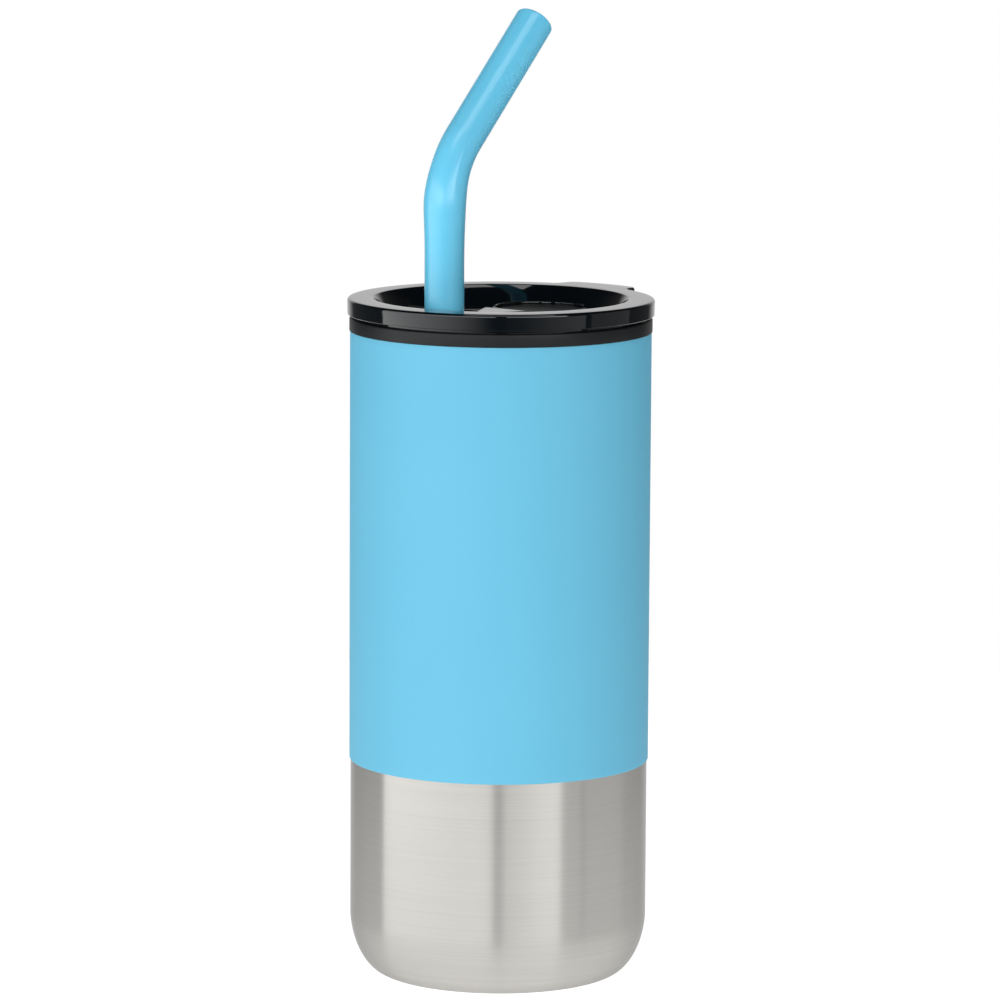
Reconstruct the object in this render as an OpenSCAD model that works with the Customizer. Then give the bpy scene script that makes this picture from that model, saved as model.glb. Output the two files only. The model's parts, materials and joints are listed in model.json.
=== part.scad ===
// Insulated straw cup: a drawn steel shell with a thin coloured sleeve, a black plastic liner,
// a push-in lid with a flip-over flap that lies open, and a bent silicone drinking straw.
// Origin: centre of the foot on the ground. +Z up. +X points to the lid's lift tab, and the
// straw stands at -X and leans towards +X. The plane Y = 0 is the mirror plane.

/* [Outer shell] */
// Outer radius of the steel shell
shell_r = 37.05; // [35:0.05:40]
// Thickness of the steel sheet
shell_wall = 0.6; // [0.4:0.1:1]
// Height of the shell's top edge, where the liner's collar sits
shell_h = 161.3; // [150:0.1:180]
// How far the bottom corner turns in, from the wall to the flat foot
corner_in = 8.15; // [5:0.05:10]
// How far up the wall the bottom corner reaches
corner_up = 14.9; // [10:0.1:18]
// Fullness of the bottom corner: 2 is an ellipse, more is squarer
corner_power = 1.82; // [1.6:0.02:2.4]

/* [Sleeve] */
// Thickness of the coloured sleeve
sleeve_wall = 0.3; // [0.2:0.05:0.8]
// Height of the sleeve's lower edge above the ground
sleeve_low = 54; // [40:0.5:80]

/* [Liner] */
// Outer radius of the collar, the matt black ring under the lid
collar_r = 37.55; // [37.4:0.05:37.9]
// Height of the collar
collar_h = 3.3; // [2.5:0.1:5]
// Radius of the bore that takes the lid
mouth_r = 34.25; // [33.5:0.05:34.5]
// Depth of that bore below the collar's top
mouth_depth = 15; // [12:0.5:20]
// Wall of the inner cup
liner_wall = 1.8; // [1.2:0.1:2.5]
// Inner radius of the cup just below the mouth
liner_top_r = 32.6; // [31:0.1:33]
// Inner radius of the cup where its bottom corner starts
liner_low_r = 30.8; // [29:0.1:32]
// Height of the cup's inner floor above the ground
liner_floor = 9.8; // [6:0.1:14]

/* [Lid] */
// Radius of the rim at its lower edge
rim_low_r = 38.03; // [37.5:0.01:38.1]
// Radius of the rim near its top edge
rim_r = 38.1; // [38.1:0.05:39]
// Height of the rim's outside wall
rim_h = 4; // [3:0.1:6]
// Gap between the rim and the collar, the dark line round the cup
rim_gap = 0.8; // [0.4:0.1:1.5]
// Radius of the well at the rim's top
well_r = 31.5; // [30:0.1:32]
// Radius of the well's flat floor
well_floor_r = 28.3; // [27.9:0.1:29]
// Depth of the well below the rim's top
well_depth = 6.5; // [6.4:0.1:6.8]
// How far the lift tab stands out from the rim
tab_out = 5; // [3:0.1:8]
// Width of the lift tab
tab_w = 21; // [15:0.5:26]
// Thickness of the lift tab
tab_t = 1.8; // [1.2:0.1:3]

/* [Flap] */
// Distance of the hinge line from the cup's axis, towards the straw
hinge_x = -0.5; // [-0.7:0.1:-0.3]
// Radius of the flap's round head
head_r = 12; // [11.8:0.1:12.2]
// Distance of the head's centre from the cup's axis when the flap lies open
head_x = 15.5; // [15.3:0.1:15.7]
// Radius of the hinge pin
pin_r = 0.75; // [0.6:0.05:0.8]

/* [Straw] */
// Distance of the straw from the cup's axis
straw_x = -21.85; // [-22:0.05:-21.5]
// Outer diameter of the straw
straw_d = 9.75; // [8:0.05:9.8]
// Bore of the straw
straw_bore = 6.5; // [5:0.1:7]
// Height of the straw's lower end above the ground
straw_low = 14; // [12:0.5:30]
// Height at which the bend starts
bend_z = 192.4; // [185:0.1:200]
// Radius of the bend's centre line
bend_r = 24.5; // [18:0.5:35]
// Angle of the bend
bend_a = 45; // [20:1:60]
// Length of the slanted mouth end beyond the bend
mouth_len = 38.8; // [25:0.1:50]

/* [Hidden] */
$fn = 128;
eps = 0.01;

// Heights that follow from the driving ones
collar_top = shell_h + collar_h;
rim_low = collar_top + rim_gap;
rim_top = rim_low + rim_h;
well_floor = rim_top - well_depth;
lid_floor_t = 2;

// Shell: the foot carries a shallow pressed groove that stiffens the flat bottom
foot_groove_r = 23;
foot_groove_w = 1.6;
foot_groove_d = 0.3;

// Liner: the plug zone sits snugly in the shell's top and holds a square seal ring
plug_r = shell_r - shell_wall - 0.1;
plug_low = 145.5;
plug_cone = 2.6;
seal_groove_z = 147.4;
seal_groove_h = 2.2;
seal_groove_r = 34.95;
liner_corner = 9;
collar_round = 0.45;
mouth_chamfer = 0.5;
mouth_step = 2;

// Lid: skirt and gasket
skirt_r = 33.6;
skirt_in_r = 31.7;
skirt_low = 152;
skirt_chamfer = 0.6;
seat_r = 36.2;
gasket_r = mouth_r - 0.05;
gasket_groove_r = 32.4;
gasket_low = 155.4;
gasket_h = 3.4;
gasket_lips = 3;
rim_round = 0.7;
well_round = 0.4;
vent = [4, 20];
vent_r = 0.9;

// Lift tab
tab_corner = 3;
tab_root = 3;
tab_r = rim_r + tab_out;

// Flap in its open place: plate, raised rim and thumb piece
hinge_z = well_floor + 1.45;
pin_play = 0.05;
pin_len = 18;
knuckle_r = 1.4;
knuckle_half = 6.3;
ear_in = 6.6;
ear_t = 2.4;
ear_r = 1.35;
plate_low = well_floor + 0.3;
plate_t = 1.5;
plate_top = plate_low + plate_t;
head_wall = 0.9;
head_top = plate_top + 1.3;
root_half = 6.2;
root_gap = 0.45;
rim_step = 0.1;
thumb_top = head_top + 0.4;
thumb_t = 1.4;
thumb_x = [-6.9, 1.9];
thumb_half = [2, 6.4];
pit_play = 0.5;
pit_low = hinge_z - 7.25;
pit_wall = 1;
pit_x = [thumb_x[0] - pit_play, thumb_x[1] + 2 * pit_play];
pad_t = 0.45;

// Straw hole with its raised lip
hole_r = straw_d / 2 + 0.325;
lip_r = hole_r + 0.35;
lip_h = 0.55;

// How much fuller the straw's wall is in the bend, outside and inside
bend_swell = 0.22;

// Points on an arc round [cx, cy] from angle a0 to a1
function arc(cx, cy, r, a0, a1, n = 6) =
    [for (i = [0 : n]) let (a = a0 + (a1 - a0) * i / n) [cx + r * cos(a), cy + r * sin(a)]];

// Bottom corner as a superellipse, from the foot at height z0 up to the wall of radius r
function corner(r, z0, n = 20) =
    [for (i = [0 : n]) let (a = 90 * i / n, e = 2 / corner_power)
        [r - corner_in + corner_in * pow(sin(a), e),
         z0 + (corner_up - z0) * (1 - pow(cos(a), e))]];

// Reversed list of points
function reversed(p) = [for (i = [len(p) - 1 : -1 : 0]) p[i]];

// Drawn steel cup with a flat foot and a full, rounded bottom corner
module outer_shell() {
    color([0.74, 0.73, 0.71])
    difference() {
        rotate_extrude()
            polygon(concat(
                [[0, 0]],
                corner(shell_r, 0),
                [[shell_r, shell_h], [shell_r - shell_wall, shell_h]],
                reversed(corner(shell_r - shell_wall, shell_wall)),
                [[0, shell_wall]]));
        rotate_extrude()
            translate([foot_groove_r - foot_groove_w / 2, -eps])
                square([foot_groove_w, foot_groove_d + eps]);
    }
}

// Thin soft-touch sleeve bonded round the upper part of the shell
module sleeve() {
    color([0.47, 0.80, 0.92])
    translate([0, 0, sleeve_low])
        difference() {
            cylinder(h = shell_h - sleeve_low, r = shell_r + sleeve_wall);
            translate([0, 0, -1])
                cylinder(h = shell_h - sleeve_low + 2, r = shell_r);
        }
}

// Inner cup: it hangs by its collar from the shell's top edge, with air round it
module liner() {
    color([0.09, 0.10, 0.11])
    difference() {
        rotate_extrude()
            polygon(concat(
                [[0, liner_floor - liner_wall]],
                arc(liner_low_r + liner_wall - liner_corner, liner_floor - liner_wall + liner_corner,
                    liner_corner, -90, 0),
                [[liner_top_r + liner_wall, plug_low - plug_cone],
                 [plug_r, plug_low],
                 [plug_r, shell_h],
                 [collar_r, shell_h]],
                arc(collar_r - collar_round, collar_top - collar_round, collar_round, 0, 90, 4),
                [[mouth_r + mouth_chamfer, collar_top],
                 [mouth_r, collar_top - mouth_chamfer],
                 [mouth_r, collar_top - mouth_depth],
                 [liner_top_r, collar_top - mouth_depth - mouth_step]],
                reversed(arc(liner_low_r - liner_corner + liner_wall,
                             liner_floor + liner_corner - liner_wall,
                             liner_corner - liner_wall, -90, 0)),
                [[0, liner_floor]]));
        translate([0, 0, seal_groove_z])
            ring(seal_groove_r, plug_r + 1, seal_groove_h);
    }
}

// Plain ring from radius a to radius b
module ring(a, b, h) {
    difference() {
        cylinder(h = h, r = b);
        translate([0, 0, -1])
            cylinder(h = h + 2, r = a);
    }
}

// Rubber ring that closes the air gap between the liner and the shell
module liner_seal() {
    color([0.14, 0.14, 0.15])
    translate([0, 0, seal_groove_z + 0.1])
        ring(seal_groove_r + 0.02, shell_r - shell_wall - 0.02, seal_groove_h - 0.2);
}

// Lid turned about the cup's axis: rim, well, floor, and skirt with its gasket groove
module lid_turned() {
    rotate_extrude()
        polygon(concat(
            [[0, well_floor - lid_floor_t],
             [skirt_in_r, well_floor - lid_floor_t],
             [skirt_in_r, skirt_low],
             [skirt_r - skirt_chamfer, skirt_low],
             [skirt_r, skirt_low + skirt_chamfer],
             [skirt_r, gasket_low],
             [gasket_groove_r, gasket_low],
             [gasket_groove_r, gasket_low + gasket_h],
             [skirt_r, gasket_low + gasket_h],
             [skirt_r, collar_top],
             [seat_r, collar_top],
             [seat_r, rim_low],
             [rim_low_r, rim_low]],
            arc(rim_r - rim_round, rim_top - rim_round, rim_round, 0, 90),
            arc(well_r + well_round, rim_top - well_round, well_round, 90, 150, 3),
            [[well_floor_r + 0.3, well_floor + 0.4],
             [well_floor_r, well_floor],
             [0, well_floor]]));
}

// Outline of the lift tab, with rounded corners and flared roots
module tab_outline() {
    corner_y = tab_w / 2 - tab_corner;
    corner_x = sqrt(pow(tab_r - tab_corner, 2) - pow(corner_y, 2));
    root_y = tab_w / 2 + tab_root;
    root_x = sqrt(pow(rim_r + tab_root, 2) - pow(root_y, 2));
    touch = rim_r / (rim_r + tab_root);
    intersection() {
        circle(r = tab_r);
        polygon([[30, -corner_y], [30 * tab_r / corner_x, -corner_y * tab_r / corner_x],
                 [corner_x * 1.2, -corner_y * 1.2], [corner_x * 1.2, corner_y * 1.2],
                 [30, corner_y]]);
    }
    translate([rim_low_r - 3, -tab_w / 2])
        square([corner_x - rim_low_r + 3, tab_w]);
    for (side = [-1, 1]) {
        translate([corner_x, side * corner_y])
            circle(r = tab_corner);
        difference() {
            polygon([[rim_low_r - 3, side * (tab_w / 2 - 1)], [root_x, side * (tab_w / 2 - 1)],
                     [root_x, side * root_y], [root_x * touch, side * root_y * touch]]);
            translate([root_x, side * root_y])
                circle(r = tab_root);
        }
    }
}

// Glossy lid: turned body, lift tab, hinge ears, thumb pit, straw hole and vent
module lid_body() {
    color([0.05, 0.06, 0.07])
    difference() {
        union() {
            lid_turned();
            translate([0, 0, rim_top - tab_t])
                linear_extrude(tab_t)
                    difference() {
                        tab_outline();
                        circle(r = well_r + 3);
                    }
            translate([straw_x, 0, well_floor - eps])
                cylinder(h = lip_h + eps, r = lip_r);
            for (side = [-1, 1])
                hinge_ear(side);
            translate([pit_x[0] - pit_wall, -ear_in - pit_wall, pit_low - pit_wall])
                cube([pit_x[1] - pit_x[0] + 2 * pit_wall, 2 * (ear_in + pit_wall),
                      well_floor - lid_floor_t - pit_low + pit_wall + 1]);
        }
        translate([pit_x[0], -ear_in, pit_low])
            cube([pit_x[1] - pit_x[0], 2 * ear_in, well_floor - pit_low + 5]);
        translate([straw_x, 0, well_floor - lid_floor_t - 1])
            cylinder(h = lid_floor_t + lip_h + 2, r = hole_r);
        translate([vent[0], vent[1], well_floor - lid_floor_t - 1])
            cylinder(h = lid_floor_t + 2, r = vent_r, $fn = 32);
        translate([hinge_x, 0, hinge_z])
            rotate([90, 0, 0])
                cylinder(h = pin_len + 2 * pin_play, r = pin_r + pin_play / 5, center = true, $fn = 48);
    }
}

// One of the two ears that carry the hinge pin
module hinge_ear(side) {
    low = side > 0 ? ear_in : -ear_in - ear_t;
    translate([hinge_x, low, hinge_z])
        rotate([-90, 0, 0])
            cylinder(h = ear_t, r = ear_r, $fn = 48);
    translate([hinge_x - ear_r, low, well_floor - eps])
        cube([2 * ear_r, ear_t, hinge_z - well_floor + eps]);
}

// Lipped rubber ring round the skirt that seals the lid in the liner's mouth
module lid_gasket() {
    lip_pitch = gasket_h / gasket_lips;
    color([0.13, 0.13, 0.14])
    rotate_extrude()
        polygon(concat(
            [[gasket_groove_r, gasket_low + gasket_h]],
            [[gasket_groove_r, gasket_low]],
            [for (i = [0 : gasket_lips - 1], k = [0 : 2])
                [k == 1 ? gasket_r : skirt_r - 0.05, gasket_low + lip_pitch * (i + k / 2)]]));
}

// Steel pin that the flap turns on
module hinge_pin() {
    color([0.72, 0.72, 0.74])
    translate([hinge_x, 0, hinge_z])
        rotate([90, 0, 0])
            cylinder(h = pin_len, r = pin_r, center = true, $fn = 48);
}

// Outline of the flap's flat plate, from the hinge to the round head
module plate_outline() {
    translate([head_x, 0])
        circle(r = head_r);
    translate([hinge_x + root_gap, -root_half])
        square([head_x - hinge_x - root_gap, 2 * root_half]);
}

// Flap lying open on its back: plate, raised sealing rim, knuckle and thumb piece
module flap() {
    color([0.05, 0.06, 0.07])
    difference() {
        union() {
            translate([0, 0, plate_low])
                linear_extrude(plate_t)
                    plate_outline();
            translate([head_x, 0, plate_low + plate_t / 2])
                ring(head_r - head_wall, head_r - rim_step, head_top - plate_low - plate_t / 2);
            translate([0, 0, thumb_top - thumb_t])
                linear_extrude(thumb_t)
                    polygon([[thumb_x[0], -thumb_half[0]], [thumb_x[1], -thumb_half[1]],
                             [thumb_x[1], thumb_half[1]], [thumb_x[0], thumb_half[0]]]);
            translate([hinge_x + root_gap, -root_half + rim_step, plate_low + plate_t / 2])
                cube([thumb_x[1] - hinge_x - root_gap - rim_step, 2 * (root_half - rim_step),
                      thumb_top - thumb_t / 2 - plate_low - plate_t / 2]);
            translate([hinge_x, 0, hinge_z])
                rotate([90, 0, 0])
                    cylinder(h = 2 * knuckle_half, r = knuckle_r, center = true, $fn = 64);
        }
        translate([hinge_x, 0, hinge_z])
            rotate([90, 0, 0])
                cylinder(h = 2 * knuckle_half + 2, r = pin_r + pin_play, center = true, $fn = 48);
    }
}

// Soft pad inside the flap's raised rim: it covers the straw hole's lip when the flap is shut
module flap_seal() {
    color([0.13, 0.13, 0.14])
    translate([head_x, 0, plate_top])
        cylinder(h = pad_t, r = head_r - head_wall - 0.05);
}

// Straw as a solid rod of radius r, rb in the bend; its ends run on by extra
module straw_rod(r, rb, extra) {
    translate([straw_x, 0, straw_low - extra])
        cylinder(h = bend_z - straw_low + extra, r = r);
    translate([straw_x + bend_r, 0, bend_z])
        rotate([90, 0, 0])
            rotate([0, 0, 180 - bend_a])
                rotate_extrude(angle = bend_a)
                    translate([bend_r, 0])
                        circle(r = rb, $fn = 64);
    translate([straw_x + bend_r * (1 - cos(bend_a)), 0, bend_z + bend_r * sin(bend_a)])
        rotate([0, bend_a, 0])
            cylinder(h = mouth_len + extra, r = r);
}

// One-piece silicone straw: its wall is a little fuller where it was moulded into the bend
module straw() {
    color([0.42, 0.79, 0.93])
    difference() {
        straw_rod(straw_d / 2, straw_d / 2 + bend_swell, 0);
        straw_rod(straw_bore / 2, straw_bore / 2 - bend_swell, 1);
    }
}

outer_shell();
sleeve();
liner();
liner_seal();
lid_body();
lid_gasket();
hinge_pin();
flap();
flap_seal();
straw();
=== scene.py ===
"""Looks of the straw cup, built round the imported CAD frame. Metres, +Z up, lift tab at +X."""
import json
import math

import bmesh
import bpy
from mathutils import Matrix, Vector


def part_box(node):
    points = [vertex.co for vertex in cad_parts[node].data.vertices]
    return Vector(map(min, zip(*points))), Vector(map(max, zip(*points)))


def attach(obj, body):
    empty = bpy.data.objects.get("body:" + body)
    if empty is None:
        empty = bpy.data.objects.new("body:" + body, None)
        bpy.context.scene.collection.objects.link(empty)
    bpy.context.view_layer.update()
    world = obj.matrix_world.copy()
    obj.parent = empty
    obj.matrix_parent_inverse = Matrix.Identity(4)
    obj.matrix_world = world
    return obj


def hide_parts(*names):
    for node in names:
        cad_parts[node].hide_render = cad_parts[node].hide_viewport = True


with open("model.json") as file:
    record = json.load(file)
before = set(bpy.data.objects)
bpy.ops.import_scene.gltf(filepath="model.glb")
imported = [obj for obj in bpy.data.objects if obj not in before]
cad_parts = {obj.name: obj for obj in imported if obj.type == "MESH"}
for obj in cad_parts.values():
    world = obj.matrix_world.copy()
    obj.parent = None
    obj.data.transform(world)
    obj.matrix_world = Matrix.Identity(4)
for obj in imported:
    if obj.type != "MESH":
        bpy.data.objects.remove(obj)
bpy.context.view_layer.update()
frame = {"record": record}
MM = 0.001

# ---------------------------------------------------------------- driving sizes, in millimetres
SHELL_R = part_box("outer_shell")[1].x / MM
SHELL_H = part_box("outer_shell")[1].z / MM
SHELL_WALL = 0.6
CORNER_IN, CORNER_UP, CORNER_POWER = 8.15, 14.9, 1.82  # superellipse of the bottom corner
SLEEVE_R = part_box("sleeve")[1].x / MM
SLEEVE_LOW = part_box("sleeve")[0].z / MM
COLLAR_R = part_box("liner")[1].x / MM
COLLAR_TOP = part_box("liner")[1].z / MM
RIM_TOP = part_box("lid_body")[1].z / MM
TAB_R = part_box("lid_body")[1].x / MM
RIM_R = -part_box("lid_body")[0].x / MM
RIM_LOW_R = 38.03
RIM_H = 4.0
RIM_LOW = RIM_TOP - RIM_H
WELL_R, WELL_FLOOR_R = 31.5, 28.3
WELL_FLOOR = RIM_TOP - 6.5
STRAW_R, STRAW_BORE_R = 4.875, 3.25
STRAW_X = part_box("straw")[0].x / MM + STRAW_R
STRAW_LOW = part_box("straw")[0].z / MM
BEND_Z, BEND_R, BEND_A, MOUTH_LEN = 192.4, 24.5, math.radians(45), 38.8
BEND_SWELL = 0.34
HINGE_X = (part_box("hinge_pin")[0].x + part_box("hinge_pin")[1].x) / 2 / MM
HINGE_Z = (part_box("hinge_pin")[0].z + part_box("hinge_pin")[1].z) / 2 / MM
HEAD_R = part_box("flap")[1].y / MM
HEAD_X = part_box("flap")[1].x / MM - HEAD_R
HEAD_WALL = 0.9
PLATE_LOW = WELL_FLOOR + 0.3
PLATE_TOP = PLATE_LOW + 1.5
HEAD_TOP = PLATE_TOP + 1.3
THUMB_TOP = HEAD_TOP + 0.4
LID_FLOOR_T = 2.0
LINER_MOUTH_R = 34.25
PIN_R, PIN_SEAT_R, KNUCKLE_BORE_R = 0.75, 0.76, 0.8
GASKET_LOW, GASKET_H, GASKET_R = 155.4, 3.4, 32.4
SEAL_GROOVE_R, SEAL_GROOVE_LOW, SEAL_GROOVE_TOP = 34.95, 147.4, 149.6
HOLE_R = STRAW_R + 0.325
VENT_R = 0.9


# ---------------------------------------------------------------- mesh helpers
def new_object(name, bm):
    """Turns a bmesh into a linked object with outward faces."""
    bmesh.ops.remove_doubles(bm, verts=bm.verts, dist=1e-7)
    bmesh.ops.recalc_face_normals(bm, faces=bm.faces)
    mesh = bpy.data.meshes.new(name)
    bm.to_mesh(mesh)
    bm.free()
    made = bpy.data.objects.new(name, mesh)
    bpy.context.scene.collection.objects.link(made)
    return made


def shade(obj, angle):
    """Smooth shading, with edges sharper than this angle kept crisp."""
    for face in obj.data.polygons:
        face.use_smooth = True
    obj.data.set_sharp_from_angle(angle=math.radians(angle))


def arc(cx, cy, r, a0, a1, n):
    """Points on an arc round (cx, cy), with angles in degrees."""
    angles = [math.radians(a0 + (a1 - a0) * i / n) for i in range(n + 1)]
    return [(cx + r * math.cos(a), cy + r * math.sin(a)) for a in angles]


def steps(a, b, n):
    """n + 1 points evenly from a to b."""
    return [tuple(p + (q - p) * i / n for p, q in zip(a, b)) for i in range(n + 1)]


def skin(bm, rings, close_ends=False):
    """Faces between neighbouring rings of vertices. A ring of one vertex is a pole."""
    pairs = list(zip(rings, rings[1:])) + ([(rings[-1], rings[0])] if close_ends else [])
    for a, b in pairs:
        count = max(len(a), len(b))
        for k in range(count):
            n = (k + 1) % count
            quad = [a[k % len(a)], a[n % len(a)], b[n % len(b)], b[k % len(b)]]
            unique = list(dict.fromkeys(quad))
            if len(unique) >= 3:
                bm.faces.new(unique)


def lathe(name, profile, segments=256, centre=(0.0, 0.0)):
    """Turns a (radius, height) profile in millimetres about a vertical axis, into a closed solid."""
    bm = bmesh.new()
    rings = []
    for r, z in profile:
        turns = [0] if r < 1e-6 else [2 * math.pi * k / segments for k in range(segments)]
        rings.append([bm.verts.new(((centre[0] + r * math.cos(t)) * MM,
                                    (centre[1] + r * math.sin(t)) * MM, z * MM)) for t in turns])
    on_axis = len(rings[0]) == 1 and len(rings[-1]) == 1
    skin(bm, rings, close_ends=not on_axis)
    return new_object(name, bm)


def corner(r, z0):
    """Bottom corner of the shell as a superellipse, from the foot up to the wall."""
    n, power = 40, 2 / CORNER_POWER
    turns = [math.pi / 2 * i / n for i in range(n + 1)]
    return [(r - CORNER_IN + CORNER_IN * math.sin(t) ** power,
             z0 + (CORNER_UP - z0) * (1 - max(math.cos(t), 0) ** power)) for t in turns]


def prism(name, outline, z0, z1, bevel=0.0, segments=3):
    """Upright prism over an outline in millimetres, with rounded edges."""
    bm = bmesh.new()
    low = [bm.verts.new((x * MM, y * MM, z0 * MM)) for x, y in outline]
    high = [bm.verts.new((x * MM, y * MM, z1 * MM)) for x, y in outline]
    skin(bm, [low, high])
    bm.faces.new(low)
    bm.faces.new(high)
    if bevel:
        sharp = [e for e in bm.edges if e.calc_face_angle(0) > math.radians(25)]
        bmesh.ops.bevel(bm, geom=sharp, offset=bevel * MM, segments=segments, affect="EDGES",
                        profile=0.5, clamp_overlap=True)
    return new_object(name, bm)


def rod(name, x, z, r, y0, y1, segments=64):
    """Cylinder along Y at (x, z), in millimetres."""
    bm = bmesh.new()
    rings = [[bm.verts.new(((x + r * math.cos(2 * math.pi * k / segments)) * MM, y * MM,
                            (z + r * math.sin(2 * math.pi * k / segments)) * MM))
              for k in range(segments)] for y in (y0, y1)]
    skin(bm, rings)
    for ring in rings:
        bm.faces.new(ring)
    return new_object(name, bm)


def combine(obj, others, operation):
    """Applies a boolean of obj with each of the others, and removes them."""
    for other in others:
        change = obj.modifiers.new("cut", "BOOLEAN")
        change.object = other
        change.operation = operation
        change.solver = "EXACT"
        bpy.context.view_layer.objects.active = obj
        bpy.ops.object.modifier_apply(modifier=change.name)
        bpy.data.objects.remove(other)


# ---------------------------------------------------------------- material helpers
class Graph:
    """Small helper round one material's node tree."""

    def __init__(self, name):
        self.material = bpy.data.materials.new(name)
        self.material.use_nodes = True
        self.tree = self.material.node_tree
        self.shader = self.tree.nodes["Principled BSDF"]
        self.at = self.node("ShaderNodeTexCoord").outputs["Object"]

    def node(self, kind, **values):
        made = self.tree.nodes.new(kind)
        for key, value in values.items():
            if hasattr(made, key):
                setattr(made, key, value)
            else:
                made.inputs[key.replace("_", " ")].default_value = value
        return made

    def link(self, a, b):
        self.tree.links.new(a, b)

    def set(self, **values):
        for key, value in values.items():
            self.shader.inputs[key.replace("_", " ")].default_value = value

    def math(self, operation, a, b=None):
        made = self.node("ShaderNodeMath", operation=operation)
        for slot, value in zip(made.inputs, (a, b)):
            if value is None:
                continue
            if isinstance(value, (int, float)):
                slot.default_value = value
            else:
                self.link(value, slot)
        return made.outputs[0]

    def noise(self, at, scale, detail, roughness):
        made = self.node("ShaderNodeTexNoise")
        made.inputs["Scale"].default_value = scale
        made.inputs["Detail"].default_value = detail
        made.inputs["Roughness"].default_value = roughness
        self.link(at, made.inputs["Vector"])
        return made.outputs["Fac"]

    def spread(self, value, low, high):
        """Maps 0.25..0.75, where noise mostly lies, to low..high."""
        made = self.node("ShaderNodeMapRange")
        made.inputs["From Min"].default_value = 0.25
        made.inputs["From Max"].default_value = 0.75
        made.inputs["To Min"].default_value = low
        made.inputs["To Max"].default_value = high
        self.link(value, made.inputs["Value"])
        return made.outputs["Result"]

    def mix(self, factor, a, b):
        made = self.node("ShaderNodeMix", data_type="RGBA")
        for slot, value in ((made.inputs["Factor"], factor), (made.inputs["A"], a), (made.inputs["B"], b)):
            if hasattr(value, "links"):
                self.link(value, slot)
            else:
                slot.default_value = value
        return made.outputs["Result"]

    def bump(self, height, distance, strength):
        made = self.node("ShaderNodeBump")
        made.inputs["Distance"].default_value = distance
        made.inputs["Strength"].default_value = strength
        self.link(height, made.inputs["Height"])
        self.link(made.outputs["Normal"], self.shader.inputs["Normal"])

    def into(self, value, name):
        self.link(value, self.shader.inputs[name])


def rgb(r, g, b):
    """Linear colour."""
    return (r, g, b, 1.0)


def brushed_steel():
    """Stainless steel brushed round the cup's axis, and in rings on the foot."""
    g = Graph("brushed_steel")
    split = g.node("ShaderNodeSeparateXYZ")
    g.link(g.at, split.inputs[0])
    x, y, z = split.outputs
    radius = g.math("SQRT", g.math("ADD", g.math("MULTIPLY", x, x), g.math("MULTIPLY", y, y)))
    along = g.math("SUBTRACT", z, radius)
    brush = g.node("ShaderNodeCombineXYZ")
    g.link(g.math("MULTIPLY", x, 14.0), brush.inputs[0])
    g.link(g.math("MULTIPLY", y, 14.0), brush.inputs[1])
    g.link(g.math("MULTIPLY", along, 4200.0), brush.inputs[2])
    fine = g.noise(brush.outputs[0], 1.0, 4.0, 0.65)
    bands = g.node("ShaderNodeCombineXYZ")
    g.link(g.math("MULTIPLY", x, 22.0), bands.inputs[0])
    g.link(g.math("MULTIPLY", y, 22.0), bands.inputs[1])
    g.link(g.math("MULTIPLY", along, 620.0), bands.inputs[2])
    broad = g.noise(bands.outputs[0], 1.0, 3.0, 0.6)
    cloud = g.noise(g.at, 38.0, 3.0, 0.55)
    tone = g.mix(g.spread(fine, 0.0, 1.0), rgb(0.452, 0.441, 0.418), rgb(0.512, 0.500, 0.474))
    tone = g.mix(g.spread(broad, 0.0, 0.05), tone, rgb(0.470, 0.459, 0.435))
    tone = g.mix(g.spread(cloud, 0.0, 0.05), tone, rgb(0.387, 0.378, 0.359))
    g.into(tone, "Base Color")
    g.into(g.math("ADD", g.spread(fine, 0.275, 0.295), g.spread(cloud, -0.004, 0.004)), "Roughness")
    g.set(Metallic=1.0, Anisotropic=1.0, Anisotropic_Rotation=0.25, Specular_Tint=(0.62, 0.62, 0.62, 1))
    tangent = g.node("ShaderNodeTangent", direction_type="RADIAL", axis="Z")
    g.link(tangent.outputs[0], g.shader.inputs["Tangent"])
    g.bump(fine, 0.00003, 0.06)
    return g.material


def soft_sleeve():
    """Matt soft-touch coat with a very fine grain."""
    g = Graph("soft_sleeve")
    grain = g.noise(g.at, 2600.0, 3.0, 0.6)
    cloud = g.noise(g.at, 26.0, 3.0, 0.5)
    tone = g.mix(g.spread(cloud, 0.0, 1.0), rgb(0.111, 0.429, 0.614), rgb(0.119, 0.441, 0.625))
    tone = g.mix(g.spread(grain, 0.0, 0.24), tone, rgb(0.158, 0.489, 0.676))
    g.into(tone, "Base Color")
    g.into(g.spread(grain, 0.56, 0.68), "Roughness")
    g.set(Specular_IOR_Level=0.35)
    g.bump(grain, 0.00002, 0.30)
    return g.material


def silicone(name, low, high, roughness, scatter):
    """Smooth silicone, slightly translucent, with faint clouds in its tone and gloss."""
    g = Graph(name)
    grain = g.noise(g.at, 2600.0, 3.0, 0.55)
    cloud = g.noise(g.at, 55.0, 3.0, 0.5)
    g.into(g.mix(g.spread(cloud, 0.0, 1.0), low, high), "Base Color")
    g.into(g.math("ADD", g.spread(grain, -0.03, 0.03), g.spread(cloud, roughness - 0.04, roughness + 0.04)),
           "Roughness")
    g.set(Subsurface_Weight=scatter, Subsurface_Radius=(0.4, 0.9, 1.0), Subsurface_Scale=0.0016,
          Specular_IOR_Level=0.4)
    g.bump(grain, 0.000015, 0.03)
    return g.material


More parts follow.
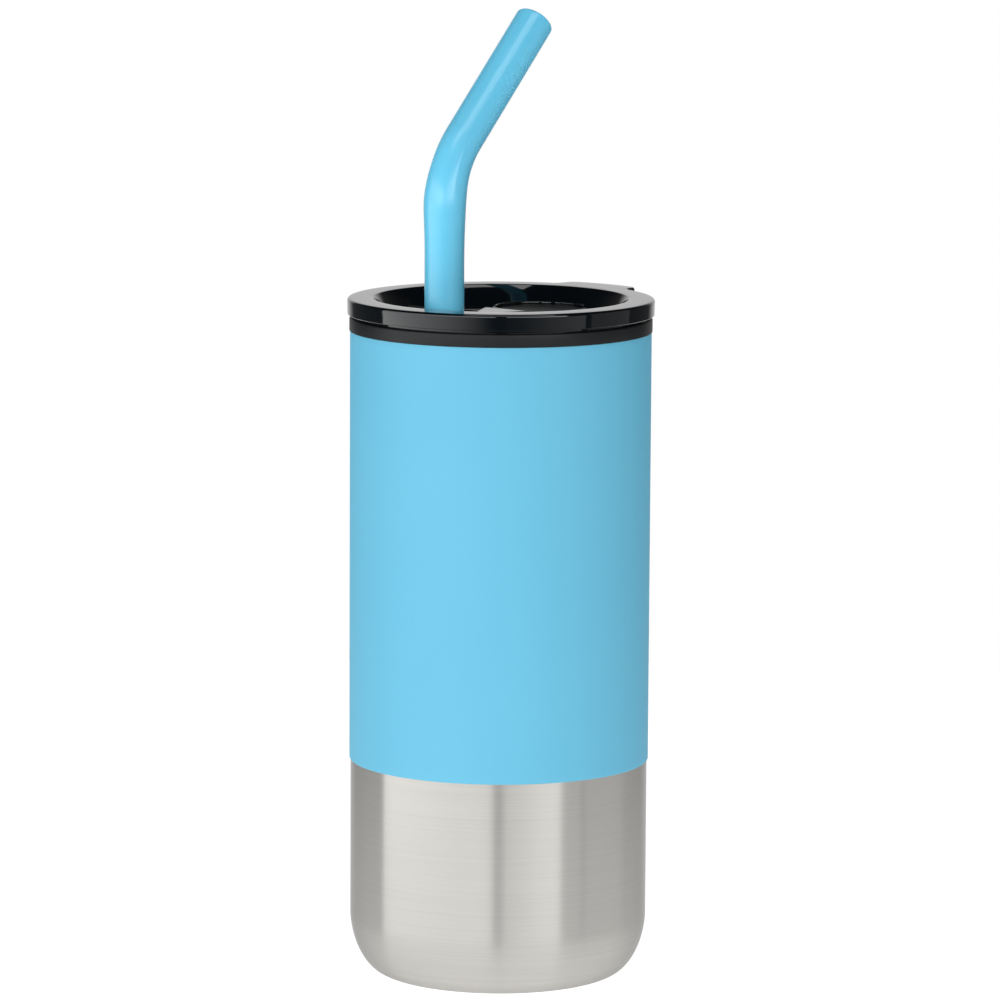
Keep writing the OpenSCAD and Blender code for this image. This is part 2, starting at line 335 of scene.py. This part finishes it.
def gloss_black():
    """Polished black plastic with soft moulding waves and a slightly uneven gloss."""
    g = Graph("gloss_black")
    wave = g.noise(g.at, 60.0, 2.0, 0.45)
    scuff = g.noise(g.at, 900.0, 4.0, 0.7)
    g.into(g.mix(g.spread(wave, 0.0, 1.0), rgb(0.0006, 0.0020, 0.0034), rgb(0.0010, 0.0027, 0.0042)),
           "Base Color")
    g.into(g.spread(scuff, 0.035, 0.085), "Roughness")
    g.set(IOR=1.52)
    g.bump(wave, 0.00004, 0.35)
    return g.material


def matt_black():
    """Matt moulded black plastic of the liner and its collar."""
    g = Graph("matt_black")
    grain = g.noise(g.at, 3400.0, 3.0, 0.6)
    cloud = g.noise(g.at, 40.0, 3.0, 0.5)
    g.into(g.mix(g.spread(cloud, 0.0, 1.0), rgb(0.0036, 0.0046, 0.0056), rgb(0.0052, 0.0064, 0.0076)),
           "Base Color")
    g.into(g.spread(grain, 0.38, 0.52), "Roughness")
    g.set(Specular_IOR_Level=0.28)
    g.bump(grain, 0.00002, 0.4)
    return g.material


def seal_black():
    """Black silicone of the seals, dull, with faint clouds in its tone."""
    g = Graph("seal_black")
    grain = g.noise(g.at, 2800.0, 3.0, 0.6)
    cloud = g.noise(g.at, 120.0, 3.0, 0.5)
    g.into(g.mix(g.spread(cloud, 0.0, 1.0), rgb(0.010, 0.011, 0.013), rgb(0.018, 0.019, 0.021)),
           "Base Color")
    g.into(g.spread(grain, 0.42, 0.58), "Roughness")
    g.bump(grain, 0.00002, 0.4)
    return g.material


def pin_steel():
    """Drawn wire of the hinge pin, with fine marks along it."""
    g = Graph("pin_steel")
    stretch = g.node("ShaderNodeMapping")
    stretch.inputs["Scale"].default_value = (6000.0, 60.0, 6000.0)
    g.link(g.at, stretch.inputs["Vector"])
    marks = g.noise(stretch.outputs[0], 1.0, 3.0, 0.6)
    g.into(g.mix(g.spread(marks, 0.0, 1.0), rgb(0.50, 0.50, 0.51), rgb(0.62, 0.62, 0.63)), "Base Color")
    g.into(g.spread(marks, 0.22, 0.36), "Roughness")
    g.set(Metallic=1.0)
    return g.material


STEEL, SLEEVE, STRAW = brushed_steel(), soft_sleeve(), silicone(
    "straw_silicone", rgb(0.137, 0.549, 0.783), rgb(0.150, 0.568, 0.803), 0.20, 0.12)
GLOSS, MATT, SEAL, PIN = gloss_black(), matt_black(), seal_black(), pin_steel()


def finish_piece(obj, node, material, angle=30):
    """Shading, material and body of one piece, and hides the CAD node that it replaces."""
    obj.data.materials.clear()
    obj.data.materials.append(material)
    shade(obj, angle)
    body = next(b for b, names in frame["record"]["behaviour"]["bodies"].items() if node in names)
    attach(obj, body)
    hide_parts(node)


# ---------------------------------------------------------------- pieces of the cup
def make_shell():
    """Steel cup: underside with its groove, bottom corner, wall, rounded top edge, inside."""
    lip = 0.25
    profile = (
        [(0, 0), (10, 0), (21.9, 0)]
        + [(22.2, 0.02), (22.5, 0.24), (23.0, 0.3), (23.5, 0.24), (23.8, 0.02), (24.1, 0)]
        + steps((25, 0), (27.5, 0), 2) + corner(SHELL_R, 0)
        + steps((SHELL_R, CORNER_UP + 2), (SHELL_R, SHELL_H - lip), 12)
        + arc(SHELL_R - lip, SHELL_H - lip, lip, 0, 90, 4)
        + [(SHELL_R - SHELL_WALL, SHELL_H)]
        + corner(SHELL_R - SHELL_WALL, SHELL_WALL)[::-1] + [(0, SHELL_WALL)])
    finish_piece(lathe("shell", profile), "outer_shell", STEEL, 35)


def make_sleeve():
    """Blue sleeve, from its lower edge to the collar."""
    r0, r1, edge = SHELL_R - 0.02, SLEEVE_R, 0.18
    profile = ([(r0, SLEEVE_LOW)] + arc(r1 - edge, SLEEVE_LOW + edge, edge, -90, 0, 5)
               + steps((r1, SLEEVE_LOW + 2), (r1, SHELL_H - 2), 20)
               + arc(r1 - 0.1, SHELL_H - 0.1, 0.1, 0, 90, 3) + [(r0, SHELL_H)])
    finish_piece(lathe("colour_sleeve", profile), "sleeve", SLEEVE, 40)


def make_liner():
    """Black inner cup with its collar and the groove of its seal."""
    plug_r = SHELL_R - SHELL_WALL - 0.1
    profile = (
        [(0, 8.0)] + arc(23.6, 17.0, 9, -90, 0, 12) + [(34.4, 142.9), (plug_r, 145.5)]
        + [(plug_r, SEAL_GROOVE_LOW), (SEAL_GROOVE_R, SEAL_GROOVE_LOW),
           (SEAL_GROOVE_R, SEAL_GROOVE_TOP), (plug_r, SEAL_GROOVE_TOP)]
        + [(plug_r, SHELL_H)] + arc(COLLAR_R - 0.15, SHELL_H + 0.15, 0.15, -90, 0, 3)
        + arc(COLLAR_R - 0.45, COLLAR_TOP - 0.45, 0.45, 0, 90, 6)
        + arc(LINER_MOUTH_R + 0.5, COLLAR_TOP - 0.5, 0.5, 90, 180, 4)
        + [(LINER_MOUTH_R, COLLAR_TOP - 15), (32.6, COLLAR_TOP - 17)]
        + arc(23.6, 17.0, 7.2, 0, -90, 12) + [(0, 9.8)])
    finish_piece(lathe("liner_cup", profile), "liner", MATT)


def make_liner_seal():
    """Round-edged ring between the liner and the shell."""
    r0, r1, z0, z1, edge = 34.97, 36.43, 147.5, 149.5, 0.3
    profile = (arc(r0 + edge, z0 + edge, edge, 180, 270, 4) + arc(r1 - edge, z0 + edge, edge, -90, 0, 4)
               + arc(r1 - edge, z1 - edge, edge, 0, 90, 4) + arc(r0 + edge, z1 - edge, edge, 90, 180, 4))
    finish_piece(lathe("liner_ring_seal", profile), "liner_seal", SEAL, 60)


# ---------------------------------------------------------------- pieces of the lid
def tab_reach(turn):
    """Outer radius of the rim's top flange, with its tab, at this many radians from +X."""
    half, round_r, root = 10.5, 3.0, 3.0
    t = abs(turn)
    c_y = half - round_r
    c_x = math.sqrt((TAB_R - round_r) ** 2 - c_y ** 2)
    root_y = half + root
    root_x = math.sqrt((RIM_R + root) ** 2 - root_y ** 2)
    if t <= math.atan2(c_y, c_x):
        return TAB_R
    if t >= math.atan2(root_y, root_x):
        return RIM_R
    ray = Vector((math.cos(t), math.sin(t)))

    def hit(cx, cy, r, far):
        along = ray.x * cx + ray.y * cy
        inside = r * r - (cx * cx + cy * cy - along * along)
        return None if inside < 0 else along + (1 if far else -1) * math.sqrt(inside)

    reach = hit(c_x, c_y, round_r, True)
    if reach is None or reach * ray.x < c_x:
        reach = half / ray.y
    if reach * ray.x < root_x:
        reach = hit(root_x, root_y, root, False) or RIM_R
    return max(RIM_R, min(TAB_R, reach))


def make_lid():
    """Lid as one skin with its tab, joined to the hole's lip, the pit's tub and the ears, then cut by
    the pit, the straw hole, the vent and the pin's seats."""
    tab_t, top_round, well_round = 1.8, 0.7, 0.4
    skirt_r, skirt_in, skirt_low = 33.6, 31.7, 152.0
    dense = [math.radians(a) for a in
             list(range(9)) + [9 + i * 0.125 for i in range(100)]]
    rest = [dense[-1] + (math.pi - dense[-1]) * (i + 1) / 120 for i in range(120)]
    half_turn = dense + rest
    turns = half_turn + [-t for t in half_turn[-2:0:-1]]
    columns = []
    for t in turns:
        out = tab_reach(t)
        drop = min(1.0, (out - RIM_R) / 0.6)
        side_low = RIM_TOP - top_round - (tab_t - top_round - 0.3) * drop
        column = [(skirt_in, WELL_FLOOR - LID_FLOOR_T), (skirt_in, skirt_low),
                  (skirt_r - 0.6, skirt_low), (skirt_r, skirt_low + 0.6), (skirt_r, GASKET_LOW),
                  (GASKET_R, GASKET_LOW), (GASKET_R, GASKET_LOW + GASKET_H),
                  (skirt_r, GASKET_LOW + GASKET_H), (skirt_r, COLLAR_TOP), (36.2, COLLAR_TOP),
                  (36.2, RIM_LOW), (RIM_LOW_R - 0.12, RIM_LOW), (RIM_LOW_R, RIM_LOW + 0.12)]
        under = RIM_TOP - tab_t
        wall_at = RIM_LOW_R + (RIM_R - RIM_LOW_R) * (under - RIM_LOW) / (RIM_H - top_round)
        column += [(wall_at, under)]
        column += [(wall_at + (out - 0.3 - wall_at) * drop * f, under) for f in (0.1, 1.0)] if drop else [
            (wall_at, under), (wall_at, under)]
        low = [(out - 0.09 * drop, under + 0.09), (out, side_low)]
        column += low if drop else [(wall_at, under), (out, side_low)]
        column += arc(out - top_round, RIM_TOP - top_round, top_round, 0, 90, 7)
        inner = WELL_R + well_round
        column += [(out - top_round - (out - top_round - inner) * f, RIM_TOP) for f in (0.25, 0.5, 0.75)]
        column += arc(inner, RIM_TOP - well_round, well_round, 90, 151, 4)
        column += steps((WELL_R - 0.6, RIM_TOP - 1.2), (WELL_FLOOR_R + 0.62, WELL_FLOOR + 0.9), 3)
        column += arc(WELL_FLOOR_R - 0.35, WELL_FLOOR + 1.0, 1.0, -25, -90, 5)
        columns.append([(t, r, z) for r, z in column])
    bm = bmesh.new()
    grid = [[bm.verts.new((r * math.cos(t) * MM, r * math.sin(t) * MM, z * MM)) for t, r, z in column]
            for column in columns]
    rings = [list(ring) for ring in zip(*grid)]
    low_pole = bm.verts.new((0, 0, (WELL_FLOOR - LID_FLOOR_T) * MM))
    high_pole = bm.verts.new((0, 0, WELL_FLOOR * MM))
    skin(bm, [[low_pole]] + rings + [[high_pole]])
    bmesh.ops.remove_doubles(bm, verts=bm.verts, dist=2e-6)
    lid = new_object("lid_moulding", bm)

    lip_profile = [(HOLE_R - 0.5, WELL_FLOOR - 0.5), (HOLE_R + 0.35, WELL_FLOOR - 0.5)] + arc(
        HOLE_R + 0.15, WELL_FLOOR + 0.35, 0.2, 0, 90, 4) + [(HOLE_R - 0.5, WELL_FLOOR + 0.55)]
    lip = lathe("lip", lip_profile, 96, (STRAW_X, 0))
    ears = [ear(side) for side in (-1, 1)]
    pit_x0, pit_x1, pit_y, pit_low = -7.4, 2.9, 6.6, HINGE_Z - 7.25
    tub = prism("tub", rounded_box(pit_x0 - 1, pit_x1 + 1, pit_y + 1, 1.8), pit_low - 1,
                WELL_FLOOR - 1.0, 0.3)
    combine(lid, [lip, tub] + ears, "UNION")
    pit = prism("pit", rounded_box(pit_x0, pit_x1, pit_y, 0.8), pit_low, WELL_FLOOR + 3.5)
    under, over = WELL_FLOOR - LID_FLOOR_T - 2, WELL_FLOOR + 4
    hole_cut = lathe("hole", [(0, under), (HOLE_R, under), (HOLE_R, over), (0, over)], 96, (STRAW_X, 0))
    vent = lathe("vent", [(0, under), (VENT_R, under), (VENT_R, WELL_FLOOR - 0.15), (1.15, WELL_FLOOR + 0.1),
                          (1.15, over), (0, over)], 48, (4, 20))
    bore = rod("bore", HINGE_X, HINGE_Z, PIN_SEAT_R, -9.05, 9.05)
    combine(lid, [pit, hole_cut, vent, bore], "DIFFERENCE")
    finish_piece(lid, "lid_body", GLOSS, 28)


def rounded_box(x0, x1, half, r):
    """Outline of a box symmetric about Y = 0, with rounded corners."""
    return (arc(x1 - r, -half + r, r, -90, 0, 5) + arc(x1 - r, half - r, r, 0, 90, 5)
            + arc(x0 + r, half - r, r, 90, 180, 5) + arc(x0 + r, -half + r, r, 180, 270, 5))


def ear(side):
    """One hinge ear: a rounded upright on the well's floor."""
    r, inner, thick = 1.35, 6.6, 2.4
    y0, y1 = sorted((side * inner, side * (inner + thick)))
    outline = [(HINGE_X + r, WELL_FLOOR - 0.4)] + arc(HINGE_X, HINGE_Z, r, 0, 180, 16) + [
        (HINGE_X - r, WELL_FLOOR - 0.4)]
    bm = bmesh.new()
    rings = [[bm.verts.new((x * MM, y * MM, z * MM)) for x, z in outline] for y in (y0, y1)]
    skin(bm, rings)
    for ring in rings:
        bm.faces.new(ring)
    rims = [e for e in bm.edges if e.calc_face_angle(0) > math.radians(60)
            and min(v.co.z for v in e.verts) > (WELL_FLOOR - 0.3) * MM]
    bmesh.ops.bevel(bm, geom=rims, offset=0.2 * MM, segments=3, affect="EDGES", profile=0.5)
    return new_object("ear", bm)


def make_gasket():
    """Ring of three rounded lips."""
    low, pitch, r_in, r_out = GASKET_LOW, GASKET_H / 3, GASKET_R, LINER_MOUTH_R - 0.05
    profile = [(r_in, low + GASKET_H), (r_in, low)]
    for i in range(3):
        base = low + pitch * i
        profile += [(33.55, base + 0.02), (33.75, base + 0.12)]
        profile += arc(r_out - 0.18, base + pitch / 2, 0.18, -60, 60, 4)
        profile += [(33.75, base + pitch - 0.12), (33.55, base + pitch - 0.02)]
    finish_piece(lathe("skirt_gasket", profile), "lid_gasket", SEAL, 45)


def make_flap():
    """Round cover with its neck, thumb piece, the block under that, and the knuckle."""
    head_profile = (
        [(0, PLATE_LOW)] + arc(HEAD_R - 0.35, PLATE_LOW + 0.35, 0.35, -90, 0, 5)
        + [(HEAD_R, PLATE_TOP - 0.2)] + arc(HEAD_R - 0.35, HEAD_TOP - 0.35, 0.35, 0, 90, 5)
        + arc(HEAD_R - HEAD_WALL + 0.3, HEAD_TOP - 0.3, 0.3, 90, 180, 4)
        + [(HEAD_R - HEAD_WALL, PLATE_TOP + 0.2), (HEAD_R - HEAD_WALL - 0.2, PLATE_TOP), (0, PLATE_TOP)])
    head = lathe("flap_cover", head_profile, 160, (HEAD_X, 0))
    root_half = 6.2
    neck = prism("neck", [(HINGE_X + 0.45, -root_half), (HEAD_X - HEAD_R * 0.86, -root_half),
                          (HEAD_X - HEAD_R * 0.86, root_half), (HINGE_X + 0.45, root_half)],
                 PLATE_LOW + 0.02, PLATE_TOP - 0.02, 0.12)
    block = prism("block", [(HINGE_X + 0.5, -6.05), (1.75, -6.05), (1.75, 6.05), (HINGE_X + 0.5, 6.05)],
                  PLATE_LOW + 0.6, THUMB_TOP - 0.5)
    thumb = prism("thumb", [(-6.9, -2.0), (1.9, -6.4), (1.9, 6.4), (-6.9, 2.0)],
                  THUMB_TOP - 1.4, THUMB_TOP, 0.3, 4)
    knuckle = rod("knuckle", HINGE_X, HINGE_Z, 1.4, -6.3, 6.3, 96)
    combine(head, [neck, block, thumb, knuckle], "UNION")
    combine(head, [rod("bore", HINGE_X, HINGE_Z, KNUCKLE_BORE_R, -8, 8)], "DIFFERENCE")
    finish_piece(head, "flap", GLOSS, 28)


def make_flap_seal():
    """Soft pad inside the flap's raised rim."""
    r, top = HEAD_R - HEAD_WALL - 0.05, PLATE_TOP + 0.45
    profile = ([(0, PLATE_TOP), (r - 0.05, PLATE_TOP)] + arc(r - 0.15, top - 0.15, 0.15, 0, 90, 4)
               + arc(r - 1.2, top - 0.9, 0.9, 90, 110, 3) + [(r - 1.8, top - 0.12), (0, top - 0.12)])
    finish_piece(lathe("flap_pad", profile, 160, (HEAD_X, 0)), "flap_seal", SEAL, 40)


def make_pin():
    """Plain pin of the flap's hinge."""
    pin = rod("flap_pin", HINGE_X, HINGE_Z, PIN_R, -9, 9)
    finish_piece(pin, "hinge_pin", PIN)


# ---------------------------------------------------------------- the straw
def straw_frames():
    """(centre, direction, distance past the bend's start) along the straw, lower end to mouth."""
    out = []
    for x, z in steps((STRAW_X, STRAW_LOW), (STRAW_X, BEND_Z), 60):
        out.append((Vector((x, 0, z)), Vector((0, 0, 1)), z - BEND_Z))
    for i in range(1, 41):
        a = BEND_A * i / 40
        at = Vector((STRAW_X + BEND_R * (1 - math.cos(a)), 0, BEND_Z + BEND_R * math.sin(a)))
        out.append((at, Vector((math.sin(a), 0, math.cos(a))), BEND_R * a))
    end, way = out[-1][0], out[-1][1]
    for i in range(1, 41):
        out.append((end + way * MOUTH_LEN * i / 40, way, BEND_R * BEND_A + MOUTH_LEN * i / 40))
    return out


def bell(s, peak, before, after):
    """Smooth swelling along the straw: 1 at its peak, fading over a length before and after."""
    return math.exp(-((s - peak) / (before if s < peak else after)) ** 2)


def make_straw():
    """Straw as one closed skin: up the outside, over the mouth, down the bore, round the lower end."""
    frames = straw_frames()
    lip = 0.45
    sides = 72

    def ring(at, way, r):
        side, up = Vector((0, 1, 0)), way.cross(Vector((0, 1, 0)))
        return [bm.verts.new((at + (side * math.cos(2 * math.pi * k / sides)
                                    + up * math.sin(2 * math.pi * k / sides)) * r) * MM)
                for k in range(sides)]

    bm = bmesh.new()
    rings = []
    (low_at, low_way, _), (top_at, top_way, _) = frames[0], frames[-1]
    for x, y in arc(STRAW_R - lip, lip, lip, -90, 0, 5):
        rings.append(ring(low_at + low_way * y, low_way, x))
    for at, way, s in frames[1:-1]:
        rings.append(ring(at, way, STRAW_R + BEND_SWELL * bell(s, 2.5, 7.0, 6.0)))
    for x, y in arc(STRAW_R - lip, -lip, lip, 0, 90, 5):
        rings.append(ring(top_at + top_way * y, top_way, x))
    for x, y in arc(STRAW_BORE_R + 0.3, -0.3, 0.3, 90, 180, 3):
        rings.append(ring(top_at + top_way * y, top_way, x))
    for at, way, s in frames[-2:0:-1]:
        rings.append(ring(at, way, STRAW_BORE_R - 0.1 * bell(s, 2.5, 7.0, 6.0)))
    for x, y in arc(STRAW_BORE_R + 0.3, 0.3, 0.3, 180, 270, 3):
        rings.append(ring(low_at + low_way * y, low_way, x))
    skin(bm, rings, close_ends=True)
    finish_piece(new_object("drinking_straw", bm), "straw", STRAW, 60)


make_shell()
make_sleeve()
make_liner()
make_liner_seal()
make_lid()
make_gasket()
make_flap()
make_flap_seal()
make_pin()
make_straw()


# ---------------------------------------------------------------- floor, light and camera
LENS, PITCH, ROLL = 208.17, 0.145101, 0.0056  # millimetres, radians down, radians
CAMERA_BACK, CAMERA_UP = 1.42294, 0.326717  # metres from the cup's axis and above the floor
PANEL_FAR = 0.9  # metres from the cup's axis to each upright panel
PANEL_LOW, PANEL_SPLIT, PANEL_TOP = -0.3, 0.20, 0.60  # heights in metres
BOX_AIM = (0, 0, 0.15)
FACING = math.radians(-51)  # turn from the camera's own axes to the frame's
FLOOR_R, FLOOR_GLOW = 0.45, 0.90
# dot product or height where each ramp begins and ends, then the radiance factor there
BACK_RAMP = (0.80, 0.96, 0.09, 0.86)
RISE_RAMP = (0.16, 0.5, 0.95, 0.3)


def from_camera(x, y, z):
    """A point given with the camera on -Y, +X to its right, turned into the frame."""
    return Vector((x * math.cos(FACING) - y * math.sin(FACING),
                   x * math.sin(FACING) + y * math.cos(FACING), z))


def make_floor():
    """A pale round floor with a glow of its own, which brings it near white."""
    bm = bmesh.new()
    bmesh.ops.create_circle(bm, cap_ends=True, segments=128, radius=FLOOR_R)
    floor = new_object("floor", bm)
    g = Graph("pale_floor")
    cloud = g.noise(g.at, 3.0, 2.0, 0.5)
    g.into(g.mix(g.spread(cloud, 0.0, 1.0), rgb(0.50, 0.50, 0.50), rgb(0.53, 0.53, 0.53)), "Base Color")
    g.set(Roughness=0.85, Emission_Color=(1, 1, 1, 1), Emission_Strength=FLOOR_GLOW)
    floor.data.materials.append(g.material)


def panel(name, turn, distance, left, right, low, high, inner, outer):
    """Upright light panel, tangent to a circle round the cup at this turn from the camera, in degrees
    to the right. It runs from left to right (turns) and low to high (metres). Its radiance goes
    smoothly from inner, at its side nearer the camera, to outer."""
    a = math.radians(turn)
    x0, x1 = (distance * math.tan(math.radians(edge - turn)) for edge in (left, right))
    side = Vector((math.cos(a), math.sin(a), 0))
    middle = Vector((math.sin(a), -math.cos(a), 0)) * distance + side * (x0 + x1) / 2
    lamp = bpy.data.lights.new(name, "AREA")
    lamp.shape = "RECTANGLE"
    lamp.size, lamp.size_y = x1 - x0, high - low
    lamp.energy = math.pi * lamp.size * lamp.size_y
    lamp.use_nodes = True
    tree = lamp.node_tree
    where = tree.nodes.new("ShaderNodeNewGeometry")
    along = tree.nodes.new("ShaderNodeVectorMath")
    along.operation = "DOT_PRODUCT"
    along.inputs[1].default_value = from_camera(*side)
    tree.links.new(where.outputs["Position"], along.inputs[0])
    ramp = tree.nodes.new("ShaderNodeMapRange")
    ramp.interpolation_type = "SMOOTHSTEP"
    near, far = (x1, x0) if turn < 0 else (x0, x1)
    for socket, value in zip(("From Min", "From Max", "To Min", "To Max"), (near, far, inner, outer)):
        ramp.inputs[socket].default_value = value
    tree.links.new(along.outputs["Value"], ramp.inputs["Value"])
    tree.links.new(ramp.outputs["Result"], tree.nodes["Emission"].inputs["Strength"])
    place_lamp(name, lamp, from_camera(middle.x, middle.y, (low + high) / 2),
               from_camera(-math.sin(a), math.cos(a), 0))


def place_lamp(name, lamp, at, way):
    """Puts a lamp at a place, shining one way, and hides it from the camera."""
    obj = bpy.data.objects.new(name, lamp)
    bpy.context.scene.collection.objects.link(obj)
    way.z = 0 if abs(way.z) < 1e-9 else way.z
    obj.rotation_euler = way.to_track_quat("-Z", "Y").to_euler()
    obj.location = at
    obj.visible_camera = False


def top_box(name, turn, rise, distance, width, tall, radiance):
    """Soft box above the cup at a turn from the camera and a rise in degrees, aimed at BOX_AIM."""
    a, e = math.radians(turn), math.radians(rise)
    lamp = bpy.data.lights.new(name, "AREA")
    lamp.shape = "RECTANGLE"
    lamp.size, lamp.size_y = width, tall
    lamp.energy = math.pi * width * tall * radiance
    at = from_camera(math.sin(a) * math.cos(e) * distance, -math.cos(a) * math.cos(e) * distance,
                     math.sin(e) * distance) + Vector(BOX_AIM)
    place_lamp(name, lamp, at, Vector(BOX_AIM) - at)


def make_world():
    """White all round to the camera. As light it is bright low behind the cup and dim elsewhere."""
    world = bpy.data.worlds.new("studio")
    world.use_nodes = True
    tree = world.node_tree
    add = tree.nodes.new
    at = add("ShaderNodeTexCoord").outputs["Generated"]
    split = add("ShaderNodeSeparateXYZ")
    tree.links.new(at, split.inputs[0])
    back = add("ShaderNodeVectorMath")
    back.operation = "DOT_PRODUCT"
    back.inputs[1].default_value = from_camera(0, 1, 0)
    tree.links.new(at, back.inputs[0])
    parts = []
    for source, values in ((back.outputs["Value"], BACK_RAMP), (split.outputs[2], RISE_RAMP)):
        ramp = add("ShaderNodeMapRange")
        ramp.interpolation_type = "SMOOTHSTEP"
        for socket, value in zip(("From Min", "From Max", "To Min", "To Max"), values):
            ramp.inputs[socket].default_value = value
        tree.links.new(source, ramp.inputs["Value"])
        parts.append(ramp.outputs["Result"])
    both = add("ShaderNodeMath")
    both.operation = "MULTIPLY"
    for socket, part in zip(both.inputs, parts):
        tree.links.new(part, socket)
    path = add("ShaderNodeLightPath")
    strength = add("ShaderNodeMix")
    tree.links.new(path.outputs["Is Camera Ray"], strength.inputs["Factor"])
    tree.links.new(both.outputs[0], strength.inputs["A"])
    strength.inputs["B"].default_value = 1.0
    shader = tree.nodes["Background"]
    shader.inputs["Color"].default_value = (1, 1, 1, 1)
    tree.links.new(strength.outputs["Result"], shader.inputs["Strength"])
    bpy.context.scene.world = world


def make_lights():
    """The studio: the surroundings, five upright panels and a soft box above."""
    make_world()
    panel("left_low", -60, PANEL_FAR, -98, -4, PANEL_LOW, PANEL_SPLIT, 0.00, 2.59)
    panel("left_high", -60, PANEL_FAR, -98, -4, PANEL_SPLIT, PANEL_TOP, 4.40, 1.90)
    panel("right_low", 35, PANEL_FAR, 4, 65, PANEL_LOW, PANEL_SPLIT, 0.03, 0.55)
    panel("right_high", 28, PANEL_FAR, 4, 50, PANEL_SPLIT, PANEL_TOP, 2.70, 4.90)
    panel("side_panel", 85, PANEL_FAR, 70, 110, PANEL_LOW, PANEL_TOP, 0.25, 0.25)
    top_box("top_box", 12, 67, 1.1, 0.95, 0.34, 3.19)


def make_camera():
    """Long lens in front of the cup, pitched down and rolled a little."""
    at = from_camera(0, -CAMERA_BACK, CAMERA_UP)
    forward = from_camera(0, math.cos(PITCH), -math.sin(PITCH))
    right = from_camera(1, 0, 0)
    up = right.cross(forward)
    x = right * math.cos(ROLL) + up * math.sin(ROLL)
    y = up * math.cos(ROLL) - right * math.sin(ROLL)
    camera = bpy.data.cameras.new("camera")
    camera.lens = LENS
    camera.sensor_width = 36.0
    camera.clip_start = 0.05
    obj = bpy.data.objects.new("camera", camera)
    bpy.context.scene.collection.objects.link(obj)
    turn = Matrix((x, y, -forward)).transposed()
    obj.matrix_world = Matrix.Translation(at) @ turn.to_4x4()
    bpy.context.scene.camera = obj


make_floor()
make_lights()
make_camera()
bpy.context.scene.view_settings.view_transform = "Standard"
